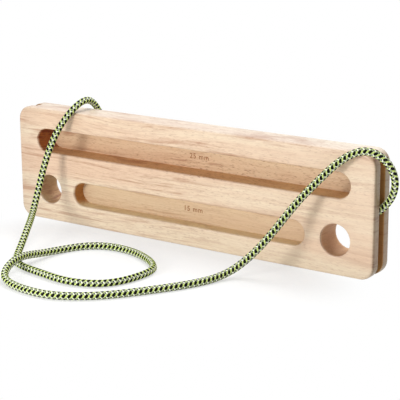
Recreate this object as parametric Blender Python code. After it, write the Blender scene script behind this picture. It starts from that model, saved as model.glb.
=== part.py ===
"""Portable hangboard: one milled wooden board and one braided cord tied into a closed loop.

Metres, +Z up. The origin is at the centre of the board's bottom face, X runs along the board,
and the finger slots open towards -Y. The cord runs through a bore along the board, leaves both
ends through open grooves, lies in loose loops on the surface in front, passes over the top edge
and is tied behind the board.
"""

import bmesh
import bpy
import numpy as np

# Board
board_length = 0.410
back_wall = 0.005
corner_radius = 0.0134
edge_fillet = 0.003
top_rail = 0.0207
middle_rail = 0.0266
bottom_rail = 0.0207
slot_height = 0.024

# Finger slots, named by their depth from the front face
upper_slot_depth = 0.025
lower_slot_depth = 0.015
upper_slot_margin = 0.0244
lower_slot_margin = 0.0703
mouth_round = 0.002

# Round holes through the board, level with the lower slot
hole_radius = 0.015
hole_inset = 0.0386
hole_round = 0.0015

# Cord, and the channel that it runs in
cord_diameter = 0.007
bore_clearance = 0.00075
groove_clearance = 0.001
groove_depth = 0.017
groove_lip = 0.0015
lie_gap = 0.0003
cord_sides = 4
cord_step = 2.35

# Knot behind the board: two barrels of wraps round two strands
knot_start = (-0.126, 0.0435)
knot_wraps = 3
wrap_dip = 0.42
wrap_places = (0.0, 0.14, 0.5, 0.86)
tail_length = 0.026

# What follows from the sizes above
board_thickness = upper_slot_depth + back_wall
board_height = bottom_rail + slot_height + middle_rail + slot_height + top_rail
front_face = -board_thickness / 2
lower_slot_height = bottom_rail + slot_height / 2
upper_slot_height = board_height - top_rail - slot_height / 2
bore_height = lower_slot_height + slot_height / 2 + middle_rail / 2
bore_radius = cord_diameter / 2 + bore_clearance
groove_half_width = cord_diameter / 2 + groove_clearance
groove_floor = board_length / 2 - groove_depth
cord_radius = cord_diameter / 2
strand_height = bore_height - bore_clearance + lie_gap
barrel_radius = cord_radius + cord_diameter
knot_length = 2 * knot_wraps * cord_diameter + lie_gap
overshoot = 0.0002
arc_steps = 4

# The cord's centre line from the right-hand groove round to the knot, in millimetres
front_route = [
    (188.3, 0, 57.5),
    (193.5, 0, 57.8),
    (206.5, -0.4, 66),
    (216, -2.6, 79),
    (219.5, -6, 92.5),
    (214, -11, 109),
    (197, -17.3, 118),
    (176, -24.2, 108.4),
    (158.5, -30.2, 90.5),
    (142.5, -37, 71.2),
    (115, -58, 29),
    (95.5, -73, 8),
    (85.5, -99.5, 3.5),
    (65.5, -138.5, 3.5),
    (28.5, -186, 3.5),
    (-2, -204, 3.5),
    (-40.5, -204, 3.5),
    (-66.5, -193, 6),
    (-78, -168, 11.4),
    (-84, -125.5, 6.5),
    (-78.5, -91, 3.5),
    (-60, -69, 3.5),
    (-33, -64.5, 3.5),
    (4.5, -77.5, 3.5),
    (25.5, -97.5, 3.5),
    (27.5, -125.5, 3.5),
    (15.5, -154, 3.5),
    (-7.5, -166, 3.5),
    (-57, -161.5, 3.5),
    (-90, -150.5, 3.5),
    (-108, -126.5, 8),
    (-124, -96, 20),
    (-141.5, -69.5, 25),
    (-148.5, -51.5, 45),
    (-145, -34, 86.5),
    (-133.5, -19.5, 115.5),
    (-129.5, -0.5, 126),
    (-131.5, 19, 119),
    (-129, 32, 98),
    (-108.5, 41, 69.5),
    (-95, 44, 42),
    (-100.5, 44.5, 19.5),
    (-114, 43.7, 11),
    (-125.7, 43.5, 10.5),
]

# From the knot's other end back into the left-hand groove, in millimetres
rear_route = [
    (-168.6, 43.5, 10.5),
    (-179, 43.3, 11.8),
    (-189.5, 41.6, 20.3),
    (-199, 37.6, 32),
    (-208.3, 31.6, 40.8),
    (-215, 22.7, 46.8),
    (-217.3, 13.2, 51.8),
    (-212.8, 4.6, 55.4),
    (-203, 0.2, 57.3),
    (-193.5, 0, 57.5),
    (-188.3, 0, 57.5),
]


def clear_scene():
    for thing in list(bpy.data.objects):
        bpy.data.objects.remove(thing, do_unlink=True)


def material(name, color, roughness):
    made = bpy.data.materials.new(name)
    made.use_nodes = True
    shader = made.node_tree.nodes["Principled BSDF"]
    shader.inputs["Base Color"].default_value = (*color, 1.0)
    shader.inputs["Roughness"].default_value = roughness
    shader.inputs["Metallic"].default_value = 0.0
    return made


def add_object(name, data, finish=None):
    made = bpy.data.objects.new(name, data)
    bpy.context.scene.collection.objects.link(made)
    if finish:
        made.data.materials.append(finish)
    return made


def loft(name, rings):
    """Closed mesh skinned over rings of equal count, with a flat cap on the first and last."""
    work = bmesh.new()
    rows = [[work.verts.new(point) for point in ring] for ring in rings]
    count = len(rows[0])
    for lower, upper in zip(rows, rows[1:]):
        for i in range(count):
            j = (i + 1) % count
            work.faces.new((lower[i], lower[j], upper[j], upper[i]))
    work.faces.new(rows[0][::-1])
    work.faces.new(rows[-1])
    bmesh.ops.remove_doubles(work, verts=work.verts, dist=1e-7)
    bmesh.ops.recalc_face_normals(work, faces=work.faces)
    mesh = bpy.data.meshes.new(name)
    work.to_mesh(mesh)
    work.free()
    return mesh


def shade(thing, degrees=35):
    thing.data.shade_smooth()
    thing.data.set_sharp_from_angle(angle=np.radians(degrees))


def arc(centre_x, centre_z, radius, start, end, steps):
    """Points on an arc in the XZ plane, angles in degrees."""
    turn = np.radians(np.linspace(start, end, steps + 1))
    return [(centre_x + radius * np.cos(a), centre_z + radius * np.sin(a)) for a in turn]


def board_outline(inset):
    """Rounded rectangle of the board's front view, drawn in by inset."""
    reach = board_length / 2 - corner_radius
    low = corner_radius
    high = board_height - corner_radius
    radius = corner_radius - inset
    return (
        arc(reach, low, radius, -90, 0, 8)
        + arc(reach, high, radius, 0, 90, 8)
        + arc(-reach, high, radius, 90, 180, 8)
        + arc(-reach, low, radius, 180, 270, 8)
    )


def stadium(length, height, centre_z, grow):
    """Slot outline with half-round ends, grown outwards by grow."""
    reach = (length - height) / 2
    radius = height / 2 + grow
    return arc(reach, centre_z, radius, -90, 90, 12) + arc(-reach, centre_z, radius, 90, 270, 12)


def quarter_round(radius):
    """Depth and outward growth down a rounded mouth, begun a little way outside the face."""
    turn = np.radians(np.linspace(0, 90, arc_steps + 1))
    depth = radius * (1 - np.cos(turn))
    grow = radius * (1 - np.sin(turn))
    slope = (grow[0] - grow[1]) / (depth[1] - depth[0])
    first = (-overshoot, grow[0] + overshoot * slope)
    return [first] + list(zip(depth, grow))


def at_depth(outline, y):
    return [(x, y, z) for x, z in outline]


def cutter(name, mesh):
    made = add_object(name, mesh)
    made.hide_render = True
    made.display_type = "WIRE"
    return made


def cut(target, tool):
    step = target.modifiers.new(tool.name, "BOOLEAN")
    step.operation = "DIFFERENCE"
    step.solver = "EXACT"
    step.object = tool


def slot_cutter(name, margin, depth, centre_z):
    length = board_length - 2 * margin
    rings = [
        at_depth(stadium(length, slot_height, centre_z, grow), front_face + down)
        for down, grow in quarter_round(mouth_round)
    ]
    rings.append(at_depth(stadium(length, slot_height, centre_z, 0), front_face + depth))
    return cutter(name, loft(name, rings))


def hole_cutter(name, side):
    x = side * (board_length / 2 - hole_inset)
    front = [
        at_depth(arc(x, lower_slot_height, hole_radius + grow, 0, 345, 23), front_face + down)
        for down, grow in quarter_round(hole_round)
    ]
    rear = [[(px, -py, pz) for px, py, pz in ring] for ring in reversed(front)]
    return cutter(name, loft(name, front + rear))


def groove_outline(inset, side):
    """Area outside the board's end, up to the outline drawn in by inset, as a closed line."""
    reach = board_length / 2 - corner_radius
    radius = corner_radius - inset
    beyond = board_length / 2 + corner_radius
    line = [(groove_floor, board_height - inset)]
    line += arc(reach, board_height - corner_radius, radius, 90, 0, 8)
    line += arc(reach, corner_radius, radius, 0, -90, 8)
    line += [(groove_floor, inset), (groove_floor, -corner_radius), (beyond, -corner_radius)]
    line += [(beyond, board_height + corner_radius), (groove_floor, board_height + corner_radius)]
    return [(side * x, z) for x, z in line]


def groove_cutter(name, side):
    """Slot across the whole end with rounded lips that follow the corner arcs."""
    lips = [
        at_depth(groove_outline(down, side), -groove_half_width - grow)
        for down, grow in quarter_round(groove_lip)
    ]
    wall = [(side * groove_floor if abs(x) < board_length / 2 + overshoot else x, y, z)
            for x, y, z in lips[-1]]
    near = lips + [wall]
    far = [[(x, -y, z) for x, y, z in ring] for ring in reversed(near)]
    return cutter(name, loft(name, near + far))


def bore_cutter():
    turn = np.radians(np.linspace(0, 345, 24))
    reach = groove_floor + groove_lip
    rings = [
        [(x, bore_radius * np.cos(a), bore_height + bore_radius * np.sin(a)) for a in turn]
        for x in (-reach, reach)
    ]
    return cutter("cut_bore", loft("cut_bore", rings))


def make_board(finish):
    turn = np.radians(np.linspace(0, 90, arc_steps + 1))
    front = [
        at_depth(board_outline(edge_fillet * (1 - np.sin(a))), front_face + edge_fillet * (1 - np.cos(a)))
        for a in turn
    ]
    rear = [[(x, -y, z) for x, y, z in ring] for ring in reversed(front)]
    board = add_object("board", loft("board", front + rear), finish)
    for side, end in ((1, "right"), (-1, "left")):
        cut(board, groove_cutter(f"cut_{end}_groove", side))
        cut(board, hole_cutter(f"cut_{end}_hole", side))
    cut(board, slot_cutter("cut_upper_slot", upper_slot_margin, upper_slot_depth, upper_slot_height))
    cut(board, slot_cutter("cut_lower_slot", lower_slot_margin, lower_slot_depth, lower_slot_height))
    cut(board, bore_cutter())
    shade(board)
    return board


def smooth_path(route, step):
    """Natural cubic spline through the route, read at even steps and kept on the floor.

    A point close to each end keeps the end caps square to what they meet. Returns the path
    and how far along the cord each of its points lies.
    """
    points = np.array(route, float) / 1000
    span = np.linalg.norm(np.diff(points, axis=0), axis=1)
    knots = np.concatenate([[0], np.cumsum(span)])
    count = len(points)
    system = np.eye(count)
    right = np.zeros((count, 3))
    slope = np.diff(points, axis=0) / span[:, None]
    for i in range(1, count - 1):
        system[i, i - 1 : i + 2] = span[i - 1], 2 * (span[i - 1] + span[i]), span[i]
        right[i] = 6 * (slope[i] - slope[i - 1])
    bend = np.linalg.solve(system, right)
    fine = np.linspace(0, knots[-1], 40 * count)
    i = np.clip(np.searchsorted(knots, fine, side="right") - 1, 0, count - 2)
    before = (knots[i + 1] - fine)[:, None]
    after = (fine - knots[i])[:, None]
    width = span[i][:, None]
    line = (bend[i] * before**3 + bend[i + 1] * after**3) / (6 * width)
    line += (points[i] / width - bend[i] * width / 6) * before
    line += (points[i + 1] / width - bend[i + 1] * width / 6) * after
    run = np.concatenate([[0], np.cumsum(np.linalg.norm(np.diff(line, axis=0), axis=1))])
    even = np.linspace(0, run[-1], max(3, int(run[-1] / step) + 1))
    even = np.sort(np.concatenate([even, [cord_radius, run[-1] - cord_radius]]))
    path = np.stack([np.interp(even, run, line[:, k]) for k in range(3)], axis=1)
    path[:, 2] = np.maximum(path[:, 2], cord_radius)
    return path, even


def cord_curve(name, path):
    """Round tube along a path, as a bevelled curve with filled ends."""
    curve = bpy.data.curves.new(name, "CURVE")
    curve.dimensions = "3D"
    curve.bevel_depth = cord_radius
    curve.bevel_resolution = cord_sides
    curve.use_fill_caps = True
    spline = curve.splines.new("POLY")
    spline.points.add(len(path) - 1)
    for point, place in zip(spline.points, path):
        point.co = (*place, 1.0)
    return curve


def least_gap(path, run):
    """Smallest free space between stretches of one cord that lie well apart along it."""
    apart = np.linalg.norm(path[:, None] - path[None], axis=2)
    along = np.abs(np.subtract.outer(run, run))
    apart[along < 6 * cord_diameter] = np.inf
    return apart.min() - cord_diameter


def make_inner_run(finish):
    """The cord inside the bore, from one free stretch's end to the other's."""
    left = rear_route[-1][0] / 1000 + lie_gap
    right = front_route[0][0] / 1000 - lie_gap
    path = [(x, 0, strand_height) for x in np.linspace(left, right, 20)]
    return add_object("cord_inner_run", cord_curve("cord_inner_run", path), finish)


def make_loop(name, route, finish):
    path, _ = smooth_path(route, cord_step * cord_diameter)
    fine, run = smooth_path(route, cord_radius / 2)
    print(f"{name}: {run[-1]:.3f} m, least gap to itself {1000 * least_gap(fine, run):.2f} mm")
    return add_object(name, cord_curve(name, path), finish)


def knot_section(x, swell):
    """Oval ring round two strands side by side; swell is the wraps' height above them."""
    y = knot_start[1] + cord_radius
    turn = np.radians(np.linspace(0, 337.5, 16))
    wide = cord_diameter + swell
    tall = cord_radius + swell
    return [(x, y + wide * np.cos(a), barrel_radius + tall * np.sin(a)) for a in turn]


def make_knot(finish):
    """Double fisherman's knot: ribbed barrels on two strands, and the two short tails."""
    rings = []
    x = knot_start[0]
    for barrel in range(2):
        for wrap in range(knot_wraps):
            for share in wrap_places:
                swell = cord_diameter * (1 - wrap_dip * (2 * share - 1) ** 4)
                rings.append(knot_section(x - share * cord_diameter, swell))
            x -= cord_diameter
        rings.append(knot_section(x, (1 - wrap_dip) * cord_diameter))
        x -= lie_gap
    knot = add_object("cord_knot", loft("cord_knot", rings), finish)
    y = knot_start[1] + cord_diameter + lie_gap
    for end, away in ((knot_start[0], 1), (knot_start[0] - knot_length, -1)):
        inside = end - away * cord_diameter
        drop = barrel_radius - cord_radius - lie_gap
        tail = [
            (inside, y, barrel_radius),
            (end, y, barrel_radius),
            (end + away * tail_length / 2, y + 0.0015, barrel_radius - drop / 2),
            (end + away * tail_length, y + 0.0035, barrel_radius - drop),
        ]
        path, _ = smooth_path(np.array(tail) * 1000, cord_radius)
        curve = add_object("tail", cord_curve("tail", path))
        mesh = bpy.data.meshes.new_from_object(curve)
        bpy.data.objects.remove(curve)
        tool = cutter("join_tail", mesh)
        step = knot.modifiers.new("tail", "BOOLEAN")
        step.operation = "UNION"
        step.solver = "EXACT"
        step.object = tool
    shade(knot, 50)
    return knot


def build():
    clear_scene()
    wood = material("wood", (0.74, 0.56, 0.39), 0.55)
    braid = material("braid", (0.36, 0.46, 0.14), 0.8)
    make_board(wood)
    make_inner_run(braid)
    make_loop("cord_front_loop", front_route, braid)
    make_loop("cord_rear_return", rear_route, braid)
    make_knot(braid)


build()
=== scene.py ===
import bmesh
import bpy
import numpy as np
from mathutils import Matrix, Vector


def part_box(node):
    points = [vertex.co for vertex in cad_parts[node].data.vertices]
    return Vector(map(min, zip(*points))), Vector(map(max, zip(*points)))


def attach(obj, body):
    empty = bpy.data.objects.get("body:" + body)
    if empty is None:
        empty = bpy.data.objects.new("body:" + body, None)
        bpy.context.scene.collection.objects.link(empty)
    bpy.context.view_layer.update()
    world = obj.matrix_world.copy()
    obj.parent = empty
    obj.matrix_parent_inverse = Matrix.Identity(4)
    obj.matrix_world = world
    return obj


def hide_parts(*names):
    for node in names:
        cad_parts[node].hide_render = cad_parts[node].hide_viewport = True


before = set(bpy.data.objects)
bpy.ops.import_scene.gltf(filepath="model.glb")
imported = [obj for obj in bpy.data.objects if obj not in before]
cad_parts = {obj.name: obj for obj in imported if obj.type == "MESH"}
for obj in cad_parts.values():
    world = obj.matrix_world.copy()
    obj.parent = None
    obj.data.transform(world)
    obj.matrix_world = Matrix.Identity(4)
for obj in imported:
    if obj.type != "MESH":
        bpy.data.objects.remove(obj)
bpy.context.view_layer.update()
print("stage: CAD frame loaded")

# Camera, solved from the board's edges, slots, holes and grooves
shot = {
    "place": (0.72860, -1.03435, 0.37949),  # metres, in the board's frame
    "turn": 34.77,  # degrees round +Z, towards -X
    "dip": -14.93,  # degrees above level, so it looks down
    "roll": 0.407,  # degrees round the line of sight
    "lens": 122.24,  # mm, for the sensor's width
    "sensor": 36.0,
    "clip": (0.05, 30.0),
}


def inScene(name, data):
    # a new object for the data, linked to the scene
    made = bpy.data.objects.new(name, data)
    bpy.context.scene.collection.objects.link(made)
    return made


def aimCamera():
    # The line of sight is turned round +Z and tipped off level. Right of it is level, down is the cross
    # product of the two, and the roll turns both of them round the line of sight.
    turn, dip, roll = np.radians([shot["turn"], shot["dip"], shot["roll"]])
    ahead = np.array([-np.sin(turn) * np.cos(dip), np.cos(turn) * np.cos(dip), np.sin(dip)])
    right = np.array([np.cos(turn), np.sin(turn), 0.0])
    down = np.cross(ahead, right)
    tipRight = right * np.cos(roll) + down * np.sin(roll)
    tipDown = down * np.cos(roll) - right * np.sin(roll)
    camera = inScene("camera", bpy.data.cameras.new("camera"))
    axes = np.stack([tipRight, -tipDown, -ahead], axis=1)
    camera.matrix_world = Matrix.Translation(shot["place"]) @ Matrix(axes.tolist()).to_4x4()
    camera.data.lens, camera.data.sensor_width = shot["lens"], shot["sensor"]
    camera.data.clip_start, camera.data.clip_end = shot["clip"]
    bpy.context.scene.camera = camera


aimCamera()
print("stage: camera set")


def addMesh(name, verts, faces, uv=None):
    # uv holds one pair for each corner of each face, in order
    mesh = bpy.data.meshes.new(name)
    mesh.from_pydata(verts.tolist(), [], faces)
    if uv is not None:
        mesh.uv_layers.new(name="weave").uv.foreach_set("vector", np.asarray(uv, np.float32).ravel())
    mesh.shade_smooth()
    return inScene(name, mesh)


def giveFrame(piece, slot, *nodes):
    # every piece moves with the one body, and some stand in for the CAD's nodes
    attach(piece, "root")
    if nodes:
        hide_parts(*nodes)


class Wires:
    # short names for shader nodes: numbers, colours and sockets go in, a socket comes out
    def __init__(self, tree):
        self.tree = tree

    def node(self, kind, **settings):
        made = self.tree.nodes.new(kind)
        for key, value in settings.items():
            setattr(made, key, value)
        return made

    def put(self, socket, value):
        if isinstance(value, bpy.types.NodeSocket):
            self.tree.links.new(value, socket)
        else:
            socket.default_value = value

    def math(self, what, *values, clamp=False):
        made = self.node("ShaderNodeMath", operation=what, use_clamp=clamp)
        for socket, value in zip(made.inputs, values):
            self.put(socket, value)
        return made.outputs[0]

    def remap(self, value, low, high, toLow=0.0, toHigh=1.0):
        # a smooth step between two values as the input goes from low to high
        made = self.node("ShaderNodeMapRange", interpolation_type="SMOOTHSTEP")
        for socket, x in zip(made.inputs, (value, low, high, toLow, toHigh)):
            self.put(socket, x)
        return made.outputs[0]

    def blend(self, share, one, two, how="MIX"):
        made = self.node("ShaderNodeMix", data_type="RGBA", blend_type=how)
        self.put(made.inputs[0], share)
        for socket, x in ((made.inputs[6], one), (made.inputs[7], two)):
            self.put(socket, (*x, 1.0) if isinstance(x, tuple) and len(x) == 3 else x)
        return made.outputs[2]

    def shaded(self, colour, light):
        # the colour times a number from 0 to 1
        grey = self.node("ShaderNodeCombineXYZ")
        for socket in grey.inputs:
            self.put(socket, light)
        return self.blend(1.0, colour, grey.outputs[0], "MULTIPLY")

    def parts(self, vector):
        made = self.node("ShaderNodeSeparateXYZ")
        self.put(made.inputs[0], vector)
        return made.outputs

    def onObject(self):
        return self.node("ShaderNodeTexCoord").outputs["Object"]

    def scaled(self, where, x, y, z):
        made = self.node("ShaderNodeMapping")
        self.put(made.inputs["Vector"], where)
        made.inputs["Scale"].default_value = (x, y, z)
        return made.outputs[0]

    def noise(self, where, detail, rough=0.5):
        made = self.node("ShaderNodeTexNoise")
        self.put(made.inputs["Vector"], where)
        for key, value in (("Scale", 1.0), ("Detail", detail), ("Roughness", rough)):
            made.inputs[key].default_value = value
        return made.outputs

    def bump(self, height, strength, distance):
        made = self.node("ShaderNodeBump")
        self.put(made.inputs["Height"], height)
        made.inputs["Strength"].default_value = strength
        made.inputs["Distance"].default_value = distance
        return made.outputs[0]

    def seen(self):
        # 1 where the camera, gloss or glass looks, and 0 for the light that falls on the object
        rays = self.node("ShaderNodeLightPath").outputs
        bounced = self.math("MAXIMUM", rays["Is Glossy Ray"], rays["Is Transmission Ray"])
        return self.math("MAXIMUM", rays["Is Camera Ray"], bounced)


def newGroup(name, takes, gives):
    # takes and gives say each socket's name and its kind: Float, Vector or Color
    tree = bpy.data.node_groups.new(name, "ShaderNodeTree")
    for way, sockets in (("INPUT", takes), ("OUTPUT", gives)):
        for label, kind in sockets.items():
            tree.interface.new_socket(label, in_out=way, socket_type=f"NodeSocket{kind}")
    w = Wires(tree)
    return tree, w, w.node("NodeGroupInput").outputs, w.node("NodeGroupOutput").inputs


def newMaterial(name, roughness, specular):
    # one plain shader, its wires, and the material that holds it
    mat = bpy.data.materials.new(name)
    mat.use_nodes = True
    shader = mat.node_tree.nodes["Principled BSDF"]
    shader.inputs["Roughness"].default_value = roughness
    shader.inputs["Specular IOR Level"].default_value = specular
    return mat, Wires(mat.node_tree), shader


def linear(r, g, b):
    # an sRGB colour of 0 to 255 as linear light
    c = np.array([r, g, b]) / 255
    return tuple(float(x) for x in np.where(c <= 0.04045, c / 12.92, ((c + 0.055) / 1.055) ** 2.4))


# Cord: braided strands on one closed loop. Lengths are in metres.
cord = {
    "diameter": 0.0070,
    "strands": 16,
    "pitch": 0.00465,  # along the cord from one dark stitch to the next, which is four crossings
    "rise": 0.00040,  # height of a strand's rounded back
    "dip": 0.50,  # how far a strand dives under the others, in rises
    "thin": 0.42,  # how much lower the pale strands lie, in rises
    "slim": 0.74,  # width of a pale strand, as a share of its lane
    "heavy": 0.44,  # how much the black strands crowd the neon ones
    "square": 0.34,  # how far each stitch is pulled round to stand across the cord
    "facets": 32,  # points round the cord
    "rings": 8,  # rings of points in each pitch
    "step": 0.0002,  # from one point to the next where a route's curve is first read
    "tuck": 0.0030,  # how far the free loop reaches into the bore at each end
    "gap": 0.0003,  # left between lengths of cord that touch on the real one
    # degrees that the braid is turned about its line, at distances along the free loop
    "twist": [
        (0, 78), (0.045, 72), (0.065, 56), (0.10, 32), (0.15, 23), (0.26, 22), (0.355, 9), (0.40, 5),
        (0.45, 19), (0.50, 26), (0.53, 56), (0.60, 68), (0.68, 57), (0.80, 60), (0.85, 66), (0.94, 43),
        (1.45, 44),
    ],
    "neon": linear(206, 224, 128),
    "black": linear(4, 5, 3),
    "white": linear(238, 241, 224),
    "grey": linear(156, 163, 140),
    # painted shade towards a strand's sides: how far out on the strand it starts and where it is full, and
    # the share of light left at each
    "strandPaintedShade": (0.6, 1.0, 1.0, 0.7),
    "yarns": 16.0,  # the yarns in a strand are a sine of its width, this many radians to each side
    "yarnRelief": 0.08,  # their height, in rises
    "bump": 0.5,  # how strongly the light picks both out
    "melted": linear(42, 46, 30),
    "meltedLight": linear(96, 108, 44),
    "meltedSpots": 900,  # spots of the lighter tone in a metre
    "meltedEdge": (0.4, 0.65),  # values of their noise that they fade in between
    "meltedBump": (0.4, 0.0003),  # strength, and depth in metres
}
cordRadius = cord["diameter"] / 2
crossings = 4 / cord["rings"]  # from one ring of points to the next
# For the strands that lean each way: where they stand highest, how much lower they lie, and their width
leans = [(0.5, 0.0, 1.0), (2.5, cord["thin"], cord["slim"])]

# The line that the cord follows in front, from the right groove round to the knot
frontRoute = [
    (0.1883, 0, 0.0575), (0.1935, 0, 0.0578), (0.2065, -0.0004, 0.066), (0.216, -0.0026, 0.079),
    (0.2195, -0.006, 0.0925), (0.214, -0.011, 0.109), (0.197, -0.0173, 0.118), (0.176, -0.0242, 0.1084),
    (0.1585, -0.0302, 0.0905), (0.1425, -0.037, 0.0712), (0.115, -0.058, 0.029), (0.0955, -0.073, 0.008),
    (0.0855, -0.0995, 0.0035), (0.0655, -0.1385, 0.0035), (0.0285, -0.186, 0.0035),
    (-0.002, -0.204, 0.0035), (-0.0405, -0.204, 0.0035), (-0.0665, -0.193, 0.006),
    (-0.078, -0.168, 0.0114), (-0.084, -0.1255, 0.0065), (-0.0785, -0.091, 0.0035),
    (-0.06, -0.069, 0.0035), (-0.033, -0.0645, 0.0035), (0.0045, -0.0775, 0.0035),
    (0.0255, -0.0975, 0.0035), (0.0275, -0.1255, 0.0035), (0.0155, -0.154, 0.0035),
    (-0.0075, -0.166, 0.0035), (-0.057, -0.1615, 0.0035), (-0.09, -0.1505, 0.0035),
    (-0.108, -0.1265, 0.008), (-0.124, -0.096, 0.02), (-0.1415, -0.0695, 0.025),
    (-0.1485, -0.0515, 0.045), (-0.145, -0.034, 0.0865), (-0.1335, -0.0195, 0.1155),
    (-0.1295, -0.0005, 0.126), (-0.1315, 0.019, 0.119), (-0.129, 0.032, 0.098), (-0.1085, 0.041, 0.0695),
    (-0.095, 0.044, 0.042), (-0.1005, 0.0445, 0.0195), (-0.114, 0.0437, 0.011), (-0.1257, 0.0435, 0.0105),
]
# From the knot's other end back into the left groove
rearRoute = [
    (-0.1686, 0.0435, 0.0105), (-0.179, 0.0433, 0.0118), (-0.1895, 0.0416, 0.0203),
    (-0.199, 0.0376, 0.032), (-0.2083, 0.0316, 0.0408), (-0.215, 0.0227, 0.0468),
    (-0.2173, 0.0132, 0.0518), (-0.2128, 0.0046, 0.0554), (-0.203, 0.0002, 0.0573), (-0.1935, 0, 0.0575),
    (-0.1883, 0, 0.0575),
]


def routeLine(route):
    # Natural cubic spline through the route's points, over the straight distances between them. One
    # linear system gives the bend at each point, and the curve is kept one cord radius above the floor.
    points = np.array(route, float)
    span = np.linalg.norm(np.diff(points, axis=0), axis=1)
    knots = np.concatenate([[0], np.cumsum(span)])
    count = len(points)
    system, load = np.eye(count), np.zeros((count, 3))
    slope = np.diff(points, axis=0) / span[:, None]
    for i in range(1, count - 1):
        system[i, i - 1 : i + 2] = span[i - 1], 2 * (span[i - 1] + span[i]), span[i]
        load[i] = 6 * (slope[i] - slope[i - 1])
    bend = np.linalg.solve(system, load)
    fine = np.linspace(0, knots[-1], int(knots[-1] / cord["step"]))
    i = np.clip(np.searchsorted(knots, fine, side="right") - 1, 0, count - 2)
    before, after, width = (knots[i + 1] - fine)[:, None], (fine - knots[i])[:, None], span[i][:, None]
    line = (bend[i] * before**3 + bend[i + 1] * after**3) / (6 * width)
    line += (points[i] / width - bend[i] * width / 6) * before
    line += (points[i + 1] / width - bend[i + 1] * width / 6) * after
    line[:, 2] = np.maximum(line[:, 2], cordRadius)
    return line


def runAlong(line):
    # how far along the line each of its points lies: the sum of the distances before it
    return np.concatenate([[0], np.cumsum(np.linalg.norm(np.diff(line, axis=0), axis=1))])


def evenly(line, step):
    # the same line with its points about one step apart, and how far along it each one lies
    run = runAlong(line)
    at = np.linspace(0, run[-1], int(round(run[-1] / step)) + 1)
    return np.stack([np.interp(at, run, line[:, k]) for k in range(3)], axis=1), at


def carriedFrames(line, first):
    # Two directions across the line at each point. The first is the one before, less its part along
    # the line, so it never turns about the line, and the second is the cross product.
    ahead = np.gradient(line, axis=0)
    ahead /= np.linalg.norm(ahead, axis=1)[:, None]
    side = np.zeros_like(line)
    now = np.array(first, float)
    for i, t in enumerate(ahead):
        now = now - (now @ t) * t
        now /= np.linalg.norm(now)
        side[i] = now
    return side, np.cross(ahead, side)


def braidHeight(u, v):
    # Half of the strands lean one way and half the other, each over two and under two. u counts
    # crossings round the cord, v along it, and a sine of u pulls each stitch round. A strand is half an
    # ellipse across, and a cosine along as it rises and dives; the surface is whichever strand stands
    # higher, in rises.
    def strand(across, along, peak, lower, width):
        middle = np.round(across)
        back = np.sqrt(np.clip(1 - (2 * (across - middle) / width) ** 2, 0, 1))
        return back + cord["dip"] * np.cos(np.pi / 2 * (middle + along - peak)) - lower

    v = v - cord["square"] * np.sin(np.pi / 2 * (u - 0.5))
    a, b = (u + v) / 2, (u - v) / 2
    crowded = a + cord["heavy"] * np.sin(np.pi * a) / np.pi
    return np.maximum(strand(crowded, b, *leans[0]), strand(b, a, *leans[1]))


def tubeFaces(rings, around, mirrored=False):
    # four corners from each ring to the next, and one flat face over the first and the last ring
    i, j = np.meshgrid(np.arange(rings - 1), np.arange(around), indexing="ij")
    k = (j + 1) % around
    quads = np.stack([i * around + j, i * around + k, (i + 1) * around + k, (i + 1) * around + j], -1)
    ring = np.arange(around)
    ends = [ring[::-1], ring + (rings - 1) * around]
    if mirrored:
        quads, ends = quads[..., [0, 3, 2, 1]], [end[::-1] for end in ends]
    return quads.reshape(-1, 4).tolist() + [end.tolist() for end in ends]


def ringPoints(middles, radius, angle, side, up):
    # the middle, plus the radius times the cosine along one direction and the sine along the other
    across = np.cos(angle)[..., None] * side + np.sin(angle)[..., None] * up
    return (middles + radius[..., None] * across).reshape(-1, 3)


def braidTube(line, first, twist=((0, 0), (1, 0))):
    # The braid's height as rings carried along the line. The radius is the cord's, less what the braid
    # lies below its highest point; u and v go into the UV map, so that the colours follow the relief.
    points, at = evenly(line, cord["pitch"] / cord["rings"])
    side, up = carriedFrames(points, first)
    turn = np.radians(np.interp(at, *zip(*twist)))
    rings, around, strands = len(points), cord["facets"], cord["strands"]
    u, v = np.arange(around)[None] * strands / around, np.arange(rings)[:, None] * crossings
    radius = cordRadius + cord["rise"] * (braidHeight(u, v) - 1 - cord["dip"])
    angle = u * 2 * np.pi / strands + turn[:, None]
    verts = ringPoints(points[:, None], radius, angle, side[:, None], up[:, None])
    uNow, vNow = np.broadcast_arrays(u, v[:-1])
    uNext, vNext = uNow + strands / around, vNow + crossings
    uv = np.stack([uNow, vNow, uNext, vNow, uNext, vNext, uNow, vNext], -1).reshape(-1, 2)
    capUv = np.stack([np.concatenate([u[0][::-1], u[0]]), np.repeat([0, v[-1, 0]], around)], -1)
    return verts, tubeFaces(rings, around), np.concatenate([uv, capUv]), points


def joined(parts):
    # several tubes as the vertices, faces and UV pairs of one mesh
    verts, faces, uv, base = [], [], [], 0
    for v, f, t in parts:
        verts.append(v)
        faces += [[base + i for i in face] for face in f]
        uv.append(t)
        base += len(v)
    return np.concatenate(verts), faces, np.concatenate(uv)


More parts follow.
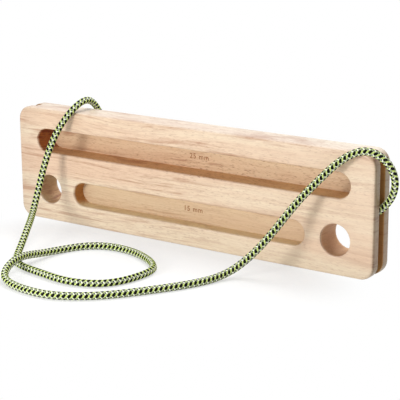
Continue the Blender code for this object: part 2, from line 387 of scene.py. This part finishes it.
def braidGroup():
    # the formula of braidHeight in nodes, with the way that the upper strand leans, whether it is the
    # second of its two colours, how far out on it a point lies, and its yarns
    tree, w, takes, gives = newGroup(
        "braidWeave",
        {"U": "Float", "V": "Float"},
        {"Lean": "Float", "Odd": "Float", "Edge": "Float", "Height": "Float", "Fibre": "Float"},
    )
    u = takes["U"]
    pull = w.math("SINE", w.math("MULTIPLY", w.math("SUBTRACT", u, 0.5), float(np.pi / 2)))
    v = w.math("SUBTRACT", takes["V"], w.math("MULTIPLY", pull, cord["square"]))
    a = w.math("MULTIPLY", w.math("ADD", u, v), 0.5)
    b = w.math("MULTIPLY", w.math("SUBTRACT", u, v), 0.5)
    swing = w.math("SINE", w.math("MULTIPLY", a, float(np.pi)))
    crowded = w.math("ADD", a, w.math("MULTIPLY", swing, float(cord["heavy"] / np.pi)))

    def strand(across, along, peak, lower, width):
        middle = w.math("FLOOR", w.math("ADD", across, 0.5))
        off = w.math("MULTIPLY", w.math("SUBTRACT", across, middle), 2.0 / width)
        back = w.math("SQRT", w.math("SUBTRACT", 1.0, w.math("MULTIPLY", off, off), clamp=True))
        place = w.math("SUBTRACT", w.math("ADD", middle, along), peak)
        wave = w.math("COSINE", w.math("MULTIPLY", place, float(np.pi / 2)))
        height = w.math("SUBTRACT", w.math("ADD", back, w.math("MULTIPLY", wave, cord["dip"])), lower)
        return w.math("FLOORED_MODULO", middle, 2.0), off, height

    oddOne, offOne, highOne = strand(crowded, b, *leans[0])
    oddTwo, offTwo, highTwo = strand(b, a, *leans[1])
    lean = w.math("GREATER_THAN", highTwo, highOne)

    def either(one, two):
        return w.math("ADD", one, w.math("MULTIPLY", lean, w.math("SUBTRACT", two, one)))

    off = either(offOne, offTwo)
    w.put(gives["Lean"], lean)
    w.put(gives["Odd"], w.math("GREATER_THAN", either(oddOne, oddTwo), 0.5))
    w.put(gives["Edge"], w.math("ABSOLUTE", off))
    w.put(gives["Height"], w.math("MAXIMUM", highOne, highTwo))
    w.put(gives["Fibre"], w.math("SINE", w.math("MULTIPLY", off, cord["yarns"])))
    return tree


def braidMaterial():
    # the upper strand's colour, with painted shade at its sides, and the braid's height plus its yarns as
    # relief
    mat, w, shader = newMaterial("braided cover", roughness=0.75, specular=0.15)
    weave = w.node("ShaderNodeGroup", node_tree=braidGroup())
    along = w.parts(w.node("ShaderNodeUVMap", uv_map="weave").outputs[0])
    w.put(weave.inputs["U"], along[0])
    w.put(weave.inputs["V"], along[1])
    lean, odd, edge, height, fibre = [weave.outputs[k] for k in ("Lean", "Odd", "Edge", "Height", "Fibre")]
    thick = w.blend(odd, cord["neon"], cord["black"])
    thinned = w.blend(odd, cord["white"], cord["grey"])
    # painted shade darkens each strand towards its sides
    colour = w.shaded(w.blend(lean, thick, thinned), w.remap(edge, *cord["strandPaintedShade"]))
    w.put(shader.inputs["Base Color"], colour)
    relief = w.math("ADD", height, w.math("MULTIPLY", fibre, cord["yarnRelief"]))
    w.put(shader.inputs["Normal"], w.bump(relief, cord["bump"], cord["rise"]))
    return mat


def meltedMaterial():
    # two tones in spots, and the spots a little raised
    mat, w, shader = newMaterial("melted cord end", roughness=0.35, specular=0.5)
    where = w.scaled(w.onObject(), *[cord["meltedSpots"]] * 3)
    spots = w.remap(w.noise(where, 3.0)[0], *cord["meltedEdge"])
    w.put(shader.inputs["Base Color"], w.blend(spots, cord["melted"], cord["meltedLight"]))
    w.put(shader.inputs["Normal"], w.bump(spots, *cord["meltedBump"]))
    return mat


braidCover = braidMaterial()


def finishCord(piece, cover, *nodes):
    # one material over the whole piece
    piece.data.materials.append(cover)
    giveFrame(piece, "cord", *nodes)


def makeLoop():
    # one line from inside the bore's right end to inside its left end, straight through the knot
    front, rear = routeLine(frontRoute), routeLine(rearRoute)
    inRight = front[0] - np.array([cord["tuck"], 0, 0])
    inLeft = rear[-1] + np.array([cord["tuck"], 0, 0])
    line = np.concatenate([[inRight], front, rear, [inLeft]])
    verts, faces, uv, points = braidTube(line, (0, 1, 0), cord["twist"])
    made = addMesh("cordLoop", verts, faces, uv)
    finishCord(made, braidCover, "cord_front_loop", "cord_rear_return")
    return made, points


loop, loopPoints = makeLoop()


def makeInnerRun():
    # a straight line at the CAD run's height, shorter at each end by what the free loop fills
    low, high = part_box("cord_inner_run")
    height = (low.z + high.z) / 2
    reach = high.x - cord["tuck"] - cord["gap"]
    line = np.array([(-reach, 0, height), (reach, 0, height)])
    made = addMesh("cordInBore", *braidTube(line, (0, 1, 0))[:3])
    finishCord(made, braidCover, "cord_inner_run")


makeInnerRun()

# Knot: two barrels of wraps round two strands, and a tail out of each end. Lengths are in metres.
knot = {
    "start": -0.1260,  # the barrels' right end along X
    "wraps": 3,
    "overturn": 0.25,  # turns beyond the wraps
    "depth": 0.0470,  # Y of the middle of the two strands
    "height": 0.0105,  # Z of both strands
    "spacing": 0.00705,  # from one wrap to the next
    "still": 0.04,  # share of the wrapping strand at each end that turns on the spot
    "dive": 0.07,  # share of it at each end that dives into the barrel
    "sink": 0.8,  # how deep it dives, as a share of its distance from the middle
    "flat": 2.2,  # how sharply the stadium's round ends give way to its flat sides
    "linePoints": 700,
    "tail": 0.026,  # length of a tail outside its barrel
    "tailRoot": 0.010,  # and inside it
    "tailSpread": 0.0035,  # how far it bends away behind
    "tailPoints": 60,
    "sag": 0.0070,  # how far a tail drops to the floor
    "tip": 0.0016,  # length of the melted, rounded end
    "tipRoot": 0.0012,  # how far that end reaches back into the tail
    "tipWidth": 0.985,  # its width there, in cords
    "tipClose": 0.96,  # share of a quarter turn at which its last ring closes
    "tipLumps": ((0.03, 5), (0.02, 3)),  # height of each row of lumps, in radii, and lumps in a turn
    "tipRings": 7,
    "tipFacets": 24,
}


def wrapLine(x, way):
    # The wrapping strand's middle runs round a stadium, one cord radius outside the two strands side
    # by side, and moves along X as it turns. At each end it dives into the barrel.
    share = np.linspace(0, 1, knot["linePoints"])
    angle = 2 * np.pi * (knot["wraps"] + knot["overturn"]) * share
    first, last = [np.clip(1 - ends / knot["dive"], 0, 1) for ends in (share, 1 - share)]
    sunk = 1 - knot["sink"] * (first**2 + last**2)
    flat = np.clip(np.cos(angle) * knot["flat"], -1, 1) * cordRadius
    y = knot["depth"] + (flat + 2 * cordRadius * np.cos(angle)) * sunk
    z = knot["height"] + 2 * cordRadius * np.sin(angle) * sunk
    moved = np.clip((share - knot["still"]) / (1 - 2 * knot["still"]), 0, 1)
    along = cordRadius * (1 + first - last) + knot["spacing"] * (knot["wraps"] - 1) * moved
    return np.stack([x - way * along, y, z], -1)


def tailLine(x, way):
    # straight along X out of the barrel, while a smooth step lowers it to the floor and bends it behind
    reach = np.linspace(-knot["tailRoot"], knot["tail"], knot["tailPoints"])
    share = np.clip(reach / knot["tail"], 0, 1)
    ease = share * share * (3 - 2 * share)
    y = knot["depth"] + cordRadius + cord["gap"] + knot["tailSpread"] * ease
    z = knot["height"] - (knot["sag"] - cord["gap"]) * ease
    return np.stack([x + way * reach, y, z], -1)


def tipDome(line):
    # A rounded end that closes a cut and melted cord: rings that move ahead by the sine of a quarter
    # turn and shrink by its cosine, with two rows of lumps round them.
    ahead = line[-1] - line[-2]
    ahead /= np.linalg.norm(ahead)
    side = np.cross(ahead, (0, 0, 1))
    side /= np.linalg.norm(side)
    up = np.cross(side, ahead)
    rings, around = knot["tipRings"], knot["tipFacets"]
    turn = np.linspace(0, np.pi / 2, rings)[1:, None]
    spin = np.linspace(0, 2 * np.pi, around, endpoint=False)[None]
    reach = np.concatenate([[[-knot["tipRoot"]]], knot["tip"] * np.sin(turn)])
    width = np.concatenate([[[1.0]], np.cos(turn * knot["tipClose"])]) * knot["tipWidth"]
    (tallSine, perTurn), (tallCosine, perOther) = knot["tipLumps"]
    lumps = 1 + tallSine * np.sin(perTurn * spin) + tallCosine * np.cos(perOther * spin)
    middles = line[-1] + reach[..., None] * ahead
    verts = ringPoints(middles, cordRadius * width * lumps, spin, side, up)
    return verts, tubeFaces(rings, around, mirrored=True)


def makeKnot():
    # the two barrels lie end to end along X, and each tail goes out at the far end of its own
    right = knot["start"]
    left = right - 2 * knot["wraps"] * cord["diameter"] - cord["gap"]
    barrels, tails = [[shape(right, 1), shape(left, -1)] for shape in (wrapLine, tailLine)]
    wound = addMesh("knotWraps", *joined([braidTube(line, (1, 0, 0))[:3] for line in barrels]))
    finishCord(wound, braidCover, "cord_knot")
    loose = addMesh("knotTails", *joined([braidTube(line, (0, 1, 0))[:3] for line in tails]))
    finishCord(loose, braidCover)
    tips = [addMesh(name, *tipDome(line)) for name, line in zip(("knotTipRight", "knotTipLeft"), tails)]
    melted = meltedMaterial()
    for tip in tips:
        finishCord(tip, melted)
    return [wound, loose, *tips]


knotPieces = makeKnot()
print("stage: knot tied")

# Board: the CAD block's own surface, with the two depths cut into the slots' back walls
board = {
    "marks": [("25 mm", 0.0030, 0.0832, 0.0100), ("15 mm", 0.0024, 0.0332, 0.0000)],  # text, X, Z, wall's Y
    "markSize": 0.0072,
    "markSpacing": 1.15,
    "markBold": 0.00010,
    "markDepth": 0.00015,
    "markCurve": 4,  # points in each curved piece of a letter
    "weld": 1e-6,  # points closer than this become one
    # where the cuts lie, for telling their faces from the outside's
    "skin": 0.0142,  # faces nearer the middle than this, along Y, are inside a cut
    "slots": (0.1840, 0.016, 0.058, 0.1000),  # reach along X, bottom, height between the slots, top
    "hole": (0.1664, 0.0327, 0.0162),  # X, Z and radius, with its rim
    "groove": (0.1850, 0.0050),  # X of its bottom and half its width
    "markBox": (0.020, 0.005, 0.00005, 0.0006),  # half width, half height, and depths behind the wall
    "crease": 32,  # degrees: edges that turn by more stay sharp
    "weight": 90,  # how much the large faces rule the shading
}

# Tints of the wood for each surface: shares of red, green and blue that it keeps, also on its top, its
# ledges and where it is cut across the fibres, and shares of the pores, the rings and the rosy bands. In
# the slots, holes and grooves the tints are partly the routed wood's own tone and partly painted shade
# inside the cuts, and the outside's top tint is a painted sheen. endTurn says how squarely a face looks
# along the fibres where that cut's tone starts and where it is full.
finishes = {
    "sanded wood": {
        "tint": (1.0, 1.0, 1.0), "top": (1.00, 1.08, 1.20), "end": (0.42, 0.39, 0.335),
        "endTurn": (0.45, 0.97), "roughness": 0.38, "flecks": 0.7, "lines": 1.0, "rosy": 0.85,
    },
    "upper slot wood": {
        "tint": (0.92, 0.83, 0.72), "ledge": (0.99, 0.875, 0.66), "end": (0.64, 0.28, 0.085),
        "endTurn": (0.15, 0.85), "roughness": 0.55, "flecks": 1.8, "lines": 1.15, "rosy": 0.7,
    },
    "lower slot wood": {
        "tint": (0.875, 0.80, 0.70), "ledge": (1.09, 1.15, 1.04), "end": (0.68, 0.39, 0.13),
        "endTurn": (0.15, 0.85), "roughness": 0.55, "flecks": 0.8, "lines": 0.7, "rosy": 0.4,
    },
    "hole wood": {
        "tint": (0.80, 0.66, 0.48), "roughness": 0.6, "flecks": 0.8, "lines": 1.4, "rosy": 1.0,
    },
    "groove wood": {
        "tint": (0.53, 0.335, 0.13), "roughness": 0.7, "flecks": 0.8, "lines": 1.6, "rosy": 0.8,
    },
    "burnt mark": {
        "tint": (0.46, 0.26, 0.13), "roughness": 0.8, "flecks": 0.4, "lines": 0.5, "rosy": 1.0,
    },
}

# The grain runs along X: broad cream and rosy bands, then rings and fibres, thin in Z and broad in Y
grain = {
    "log": (0.44, -1.95, -1.13),  # where in the log the board was sawn, metres
    "light": linear(229, 211, 184),
    "rosy": linear(220, 188, 160),
    "line": linear(170, 122, 92),
    "fleck": linear(138, 82, 54),
    # noise: cells in a metre along X, Y and Z, octaves, roughness, and the values it fades in between
    "bands": ((2.2, 16, 48), 2.0, 0.5, 0.36, 0.66),
    "dense": ((3.5, 9, 40), 1.0, 0.5, 0.38, 0.62),
    "broken": ((30, 60, 160), 2.0, 0.6, 0.34, 0.58),
    "rings": ((10, 34, 330), 2.0, 0.6, 0.47, 0.68),
    "fibres": ((60, 240, 900), 3.0, 0.7, 0.40, 0.70),
    "pores": ((240, 900, 1500), 1.0, 0.4, 0.56, 0.74),
    # the two wanders of the grain: cells in a metre, and how far they shift it, metres
    "slowWander": ((6, 10, 12), 0.016),
    "quickWander": ((34, 60, 90), 0.0016),
    # how strongly each layer shows, in loose wood and in dense wood
    "ringShow": (0.22, 0.66),
    "fibreShow": (0.16, 0.34),
    "poreShow": (0.24, 0.50),
    "fibreDepth": 0.3,  # how deep fibres and pores lie, as shares of the relief
    "poreDepth": 0.4,
    "relief": (0.25, 0.0002),  # its strength, and its depth in metres
    "openPores": (-0.14, 0.10, 0.55, 1.15),  # X where the pores are closest and widest open, and how far
    "leftShade": (-0.206, -0.160, 0.88, 1.0),  # X where the painted shade is darkest and where it is gone, and the light left at each
    "endLines": 2.8,  # how much stronger the rings show where the wood is cut across its fibres
    "ledgeTurn": (0.3, 0.9),  # how squarely a slot's face looks ahead, from ledge to back wall
    "topSheenTurn": (0.5, 0.95),  # how squarely the outside looks up, from front to top, where the top's painted sheen starts and where it is full
    "rim": (0.0112, 0.0149),  # distance from the board's middle, along Y, over which a cut's tint, painted shade in part, fades into the outside's at its rim
}


def meshNow(made):
    # the object's mesh as its modifiers leave it
    bpy.context.view_layer.update()
    return bpy.data.meshes.new_from_object(made.evaluated_get(bpy.context.evaluated_depsgraph_get()))


def weld(source, target):
    # the first mesh written into the second, with every two points that lie together made one
    work = bmesh.new()
    work.from_mesh(source)
    bmesh.ops.remove_doubles(work, verts=work.verts, dist=board["weld"])
    work.to_mesh(target)
    work.free()


def markCutter(text, x, z, wall):
    # flat letters given a thickness, half of it on each side of the wall, and stood up to face -Y
    curve = bpy.data.curves.new("mark", "FONT")
    curve.body, curve.size = text, board["markSize"]
    curve.align_x, curve.align_y = "CENTER", "CENTER"
    curve.space_character = board["markSpacing"]
    curve.extrude, curve.offset = board["markDepth"], board["markBold"]
    curve.resolution_u = board["markCurve"]
    letters = inScene("mark", curve)
    mesh = meshNow(letters)
    bpy.data.objects.remove(letters)
    mesh.transform(Matrix.Translation((x, wall, z)) @ Matrix.Rotation(np.pi / 2, 4, "X"))
    weld(mesh, mesh)
    return mesh


def makeBoard():
    # the CAD node's surface, with both marks cut out of it
    mesh = bpy.data.meshes.new("boardBody")
    weld(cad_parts["board"].data, mesh)
    made = inScene("boardBody", mesh)
    tools = [inScene("markTool", markCutter(*mark)) for mark in board["marks"]]
    for tool in tools:
        step = made.modifiers.new("mark", "BOOLEAN")
        step.operation, step.solver, step.object = "DIFFERENCE", "EXACT", tool
    carved = meshNow(made)
    made.modifiers.clear()
    made.data = carved
    carved.name = "boardBody"
    for tool in tools:
        bpy.data.objects.remove(tool)
    return made


def sortFaces(mesh):
    # which finish each face takes, by where its middle lies
    count, names = len(mesh.polygons), list(finishes)
    centre, kind = np.zeros(count * 3), np.zeros(count, np.int32)
    mesh.polygons.foreach_get("center", centre)
    x, y, z = centre.reshape(-1, 3).T
    inside = np.abs(y) < board["skin"]
    reach, low, between, high = board["slots"]
    inSlot = inside & (np.abs(x) < reach) & (z > low) & (z < high)
    kind[inSlot & (z > between)] = names.index("upper slot wood")
    kind[inSlot & (z < between)] = names.index("lower slot wood")
    holeX, holeZ, holeRadius = board["hole"]
    kind[inside & (np.hypot(np.abs(x) - holeX, z - holeZ) < holeRadius)] = names.index("hole wood")
    grooveX, grooveHalf = board["groove"]
    kind[(np.abs(x) > grooveX) & (np.abs(y) < grooveHalf)] = names.index("groove wood")
    halfWide, halfHigh, first, last = board["markBox"]
    for text, markX, markZ, wall in board["marks"]:
        near = (np.abs(x - markX) < halfWide) & (np.abs(z - markZ) < halfHigh)
        kind[near & (y > wall + first) & (y < wall + last)] = names.index("burnt mark")
    mesh.polygons.foreach_set("material_index", kind)


def smoothBelow(mesh, degrees):
    # every edge whose two faces turn by more than this many degrees stays sharp
    mesh.shade_smooth()
    edges, normals = np.zeros(len(mesh.loops), int), np.zeros(len(mesh.polygons) * 3)
    sides = np.zeros(len(mesh.polygons), int)
    mesh.loops.foreach_get("edge_index", edges)
    mesh.polygons.foreach_get("normal", normals)
    mesh.polygons.foreach_get("loop_total", sides)
    faces = np.repeat(np.arange(len(sides)), sides)[np.argsort(edges, kind="stable")].reshape(-1, 2)
    first, second = normals.reshape(-1, 3)[faces[:, 0]], normals.reshape(-1, 3)[faces[:, 1]]
    mesh.edges.foreach_set("use_edge_sharp", (first * second).sum(axis=1) < np.cos(np.radians(degrees)))


def grainGroup():
    # Layers of noise at places in the log. Each is the share by which its colour covers what lies
    # under it, and the fibres and pores are also the depth of the relief.
    tree, w, takes, gives = newGroup(
        "woodGrain",
        {"Where": "Vector", "Flecks": "Float", "Lines": "Float", "Rosy": "Float"},
        {"Colour": "Color", "Height": "Float"},
    )
    sawn = w.node("ShaderNodeVectorMath", operation="ADD")
    w.put(sawn.inputs[0], takes["Where"])
    sawn.inputs[1].default_value = grain["log"]

    def bent(where, cells, reach):
        # slow noise shifts what the finer layers read, so that the grain wanders
        shift = w.node("ShaderNodeVectorMath", operation="MULTIPLY_ADD")
        w.put(shift.inputs[0], w.noise(w.scaled(where, *cells), 1.0)["Color"])
        shift.inputs[1].default_value = (0.0, reach, reach)
        w.put(shift.inputs[2], where)
        return shift.outputs[0]

    def layer(where, name):
        cells, octaves, rough, low, high = grain[name]
        return w.remap(w.noise(w.scaled(where, *cells), octaves, rough)[0], low, high)

    def show(name):
        return w.remap(dense, 0.0, 1.0, *grain[name])

    slow = bent(sawn.outputs[0], *grain["slowWander"])
    wavy = bent(slow, *grain["quickWander"])
    bands, dense = layer(slow, "bands"), layer(slow, "dense")
    rings = w.math("MULTIPLY", layer(wavy, "rings"), layer(wavy, "broken"))
    fibres = layer(wavy, "fibres")
    alongX = w.parts(takes["Where"])[0]
    opened = w.math("MULTIPLY", takes["Flecks"], w.remap(alongX, *grain["openPores"]))
    flecks = w.math("MULTIPLY", layer(wavy, "pores"), opened)
    ringShare = w.math("MULTIPLY", rings, w.math("MULTIPLY", show("ringShow"), takes["Lines"]))
    colour = w.blend(w.math("MULTIPLY", bands, takes["Rosy"]), grain["light"], grain["rosy"])
    colour = w.blend(ringShare, colour, grain["line"])
    colour = w.blend(w.math("MULTIPLY", fibres, show("fibreShow")), colour, grain["line"])
    colour = w.blend(w.math("MULTIPLY", flecks, show("poreShow")), colour, grain["fleck"])
    # painted shade: the whole board is a little darker towards its left end
    w.put(gives["Colour"], w.shaded(colour, w.remap(alongX, *grain["leftShade"])))
    furrows = w.math("MULTIPLY", fibres, -grain["fibreDepth"])
    pits = w.math("MULTIPLY", flecks, grain["poreDepth"])
    w.put(gives["Height"], w.math("SUBTRACT", furrows, pits))
    return tree


def tinted(one, two):
    # the shares that are left of red, green and blue where both tints lie on the wood
    return tuple(a * b for a, b in zip(one, two))


def woodMaterial(name, group):
    # the grain's colour times a tint, which blends from one surface's to the next by how they face; in the
    # cuts the tint is partly painted shade, and on the top it is a painted sheen
    look = finishes[name]
    mat, w, shader = newMaterial(name, look["roughness"], specular=0.5)
    made = w.node("ShaderNodeGroup", node_tree=group)
    w.put(made.inputs["Where"], w.onObject())
    for key in ("Flecks", "Lines", "Rosy"):
        made.inputs[key].default_value = look[key.lower()]
    tint = look["tint"]
    if "end" in look:
        # wood cut across its fibres drinks more oil, is darker and shows its rings more; on the end walls
        # of the cuts the darker tint is also painted shade
        facing = w.parts(w.node("ShaderNodeNewGeometry").outputs["Normal"])
        end = w.remap(w.math("ABSOLUTE", facing[0]), *look["endTurn"])
        endLines = look["lines"] * grain["endLines"]
        w.put(made.inputs["Lines"], w.remap(end, 0.0, 1.0, look["lines"], endLines))
        endTint = tinted(tint, look["end"])
        if "ledge" in look:
            # a slot's sides, from the ledge round to its ends, take their own tints instead of the back
            # wall's: painted shade deep in the cut, with the routed wood's tone
            sides = w.blend(end, tinted(tint, look["ledge"]), endTint)
            beside = w.remap(w.math("ABSOLUTE", facing[1]), *grain["ledgeTurn"], 1.0, 0.0)
            tint = w.blend(beside, tint, sides)
        else:
            # painted sheen: where the outside looks up, its tint whitens it as light on the top face would
            upper = w.blend(w.remap(facing[2], *grain["topSheenTurn"]), tint, look["top"])
            tint = w.blend(end, upper, endTint)
    if name != "sanded wood":
        # a rounded rim runs from the outside's tone into the cut's, whose tint is painted shade in part
        fromMiddle = w.math("ABSOLUTE", w.parts(w.onObject())[1])
        deep = w.remap(fromMiddle, *grain["rim"], 1.0, 0.0)
        tint = w.blend(deep, finishes["sanded wood"]["tint"], tint)
    w.put(shader.inputs["Base Color"], w.blend(1.0, made.outputs["Colour"], tint, "MULTIPLY"))
    w.put(shader.inputs["Normal"], w.bump(made.outputs["Height"], *grain["relief"]))
    return mat


def finishBoard():
    # the carved block with a material for each finish, its large faces kept flat in the shading
    made = makeBoard()
    made.data.materials.clear()
    group = grainGroup()
    for name in finishes:
        made.data.materials.append(woodMaterial(name, group))
    sortFaces(made.data)
    smoothBelow(made.data, board["crease"])
    even = made.modifiers.new("even shading", "WEIGHTED_NORMAL")
    even.keep_sharp, even.weight = True, board["weight"]
    giveFrame(made, "wood", "board")


finishBoard()
print("stage: board grained and marked")

# Floor, lamps and world
studio = {
    "floor": (0.90, 0.90, 0.90),
    "reach": 6.0,  # metres of floor to each side
    # ovals where the floor's shadows show: X and Y of the middle, and reach along X and Y
    "pools": [(0.0, -0.10, 0.20, 0.13), (-0.06, 0.07, 0.14, 0.07)],
    "poolEdge": (0.8, 1.2),  # where an oval starts to fade and where it ends, in reaches
    "glow": 0.55,  # share of the floor's white, inside those ovals, that the lamps don't make
    "world": 0.5,
    "overhead": {"place": (0.05, 0.45, 1.2), "aim": (0, 0, 0.05), "size": (1.0, 0.8), "power": 13.0},
    "front": {"place": (-0.17, -0.93, 0.26), "aim": (0, 0, 0.05), "size": (0.28, 0.28), "power": 5.0},
}


def addLamp(name):
    # a flat lamp whose -Z looks from its place to its aim
    lamp = studio[name]
    data = bpy.data.lights.new(name, "AREA")
    data.shape, data.energy = "RECTANGLE", lamp["power"]
    data.size, data.size_y = lamp["size"]
    sight = Vector(lamp["aim"]) - Vector(lamp["place"])
    made = inScene(name, data)
    made.location, made.rotation_euler = lamp["place"], sight.to_track_quat("-Z", "Y").to_euler()


def makeFloor():
    # One flat square. Where it is seen, its white is a glow that gives way to the lamps' light and the
    # object's shadow inside each oval: a smooth step of the distance from its middle, in reaches.
    side = studio["reach"]
    grid = np.array([(-side, -side, 0), (side, -side, 0), (side, side, 0), (-side, side, 0)])
    floor = addMesh("floor", grid, [[0, 1, 2, 3]])
    mat, w, shader = newMaterial("floor", roughness=0.9, specular=0.1)
    shader.inputs["Base Color"].default_value = (*studio["floor"], 1)
    glow = w.node("ShaderNodeEmission")
    glow.inputs["Color"].default_value = (1, 1, 1, 1)
    glow.inputs["Strength"].default_value = 1.0
    share = 1.0
    for x, y, wide, deep in studio["pools"]:
        oval = w.node("ShaderNodeMapping")
        w.put(oval.inputs["Vector"], w.onObject())
        oval.inputs["Location"].default_value = (-x / wide, -y / deep, 0)
        oval.inputs["Scale"].default_value = (1 / wide, 1 / deep, 1)
        away = w.node("ShaderNodeVectorMath", operation="LENGTH")
        w.put(away.inputs[0], oval.outputs[0])
        faded = w.remap(away.outputs["Value"], *studio["poolEdge"], studio["glow"], 1.0)
        share = w.math("MINIMUM", share, faded)
    dim = w.node("ShaderNodeMixShader")
    w.put(dim.inputs[0], w.math("MULTIPLY", w.seen(), share))
    w.put(dim.inputs[1], shader.outputs[0])
    w.put(dim.inputs[2], glow.outputs[0])
    w.put(mat.node_tree.nodes["Material Output"].inputs["Surface"], dim.outputs[0])
    floor.data.materials.append(mat)


def makeWorld():
    # white where the camera, gloss or glass sees it, and a plain fill light for the rest
    world = bpy.data.worlds.new("world")
    bpy.context.scene.world = world
    world.use_nodes = True
    w = Wires(world.node_tree)
    sky = world.node_tree.nodes["Background"]
    sky.inputs["Color"].default_value = (1, 1, 1, 1)
    w.put(sky.inputs["Strength"], w.remap(w.seen(), 0.0, 1.0, studio["world"], 1.0))


makeFloor()
makeWorld()
addLamp("overhead")
addLamp("front")
bpy.context.scene.view_settings.view_transform = "Standard"
print("stage: studio lit")
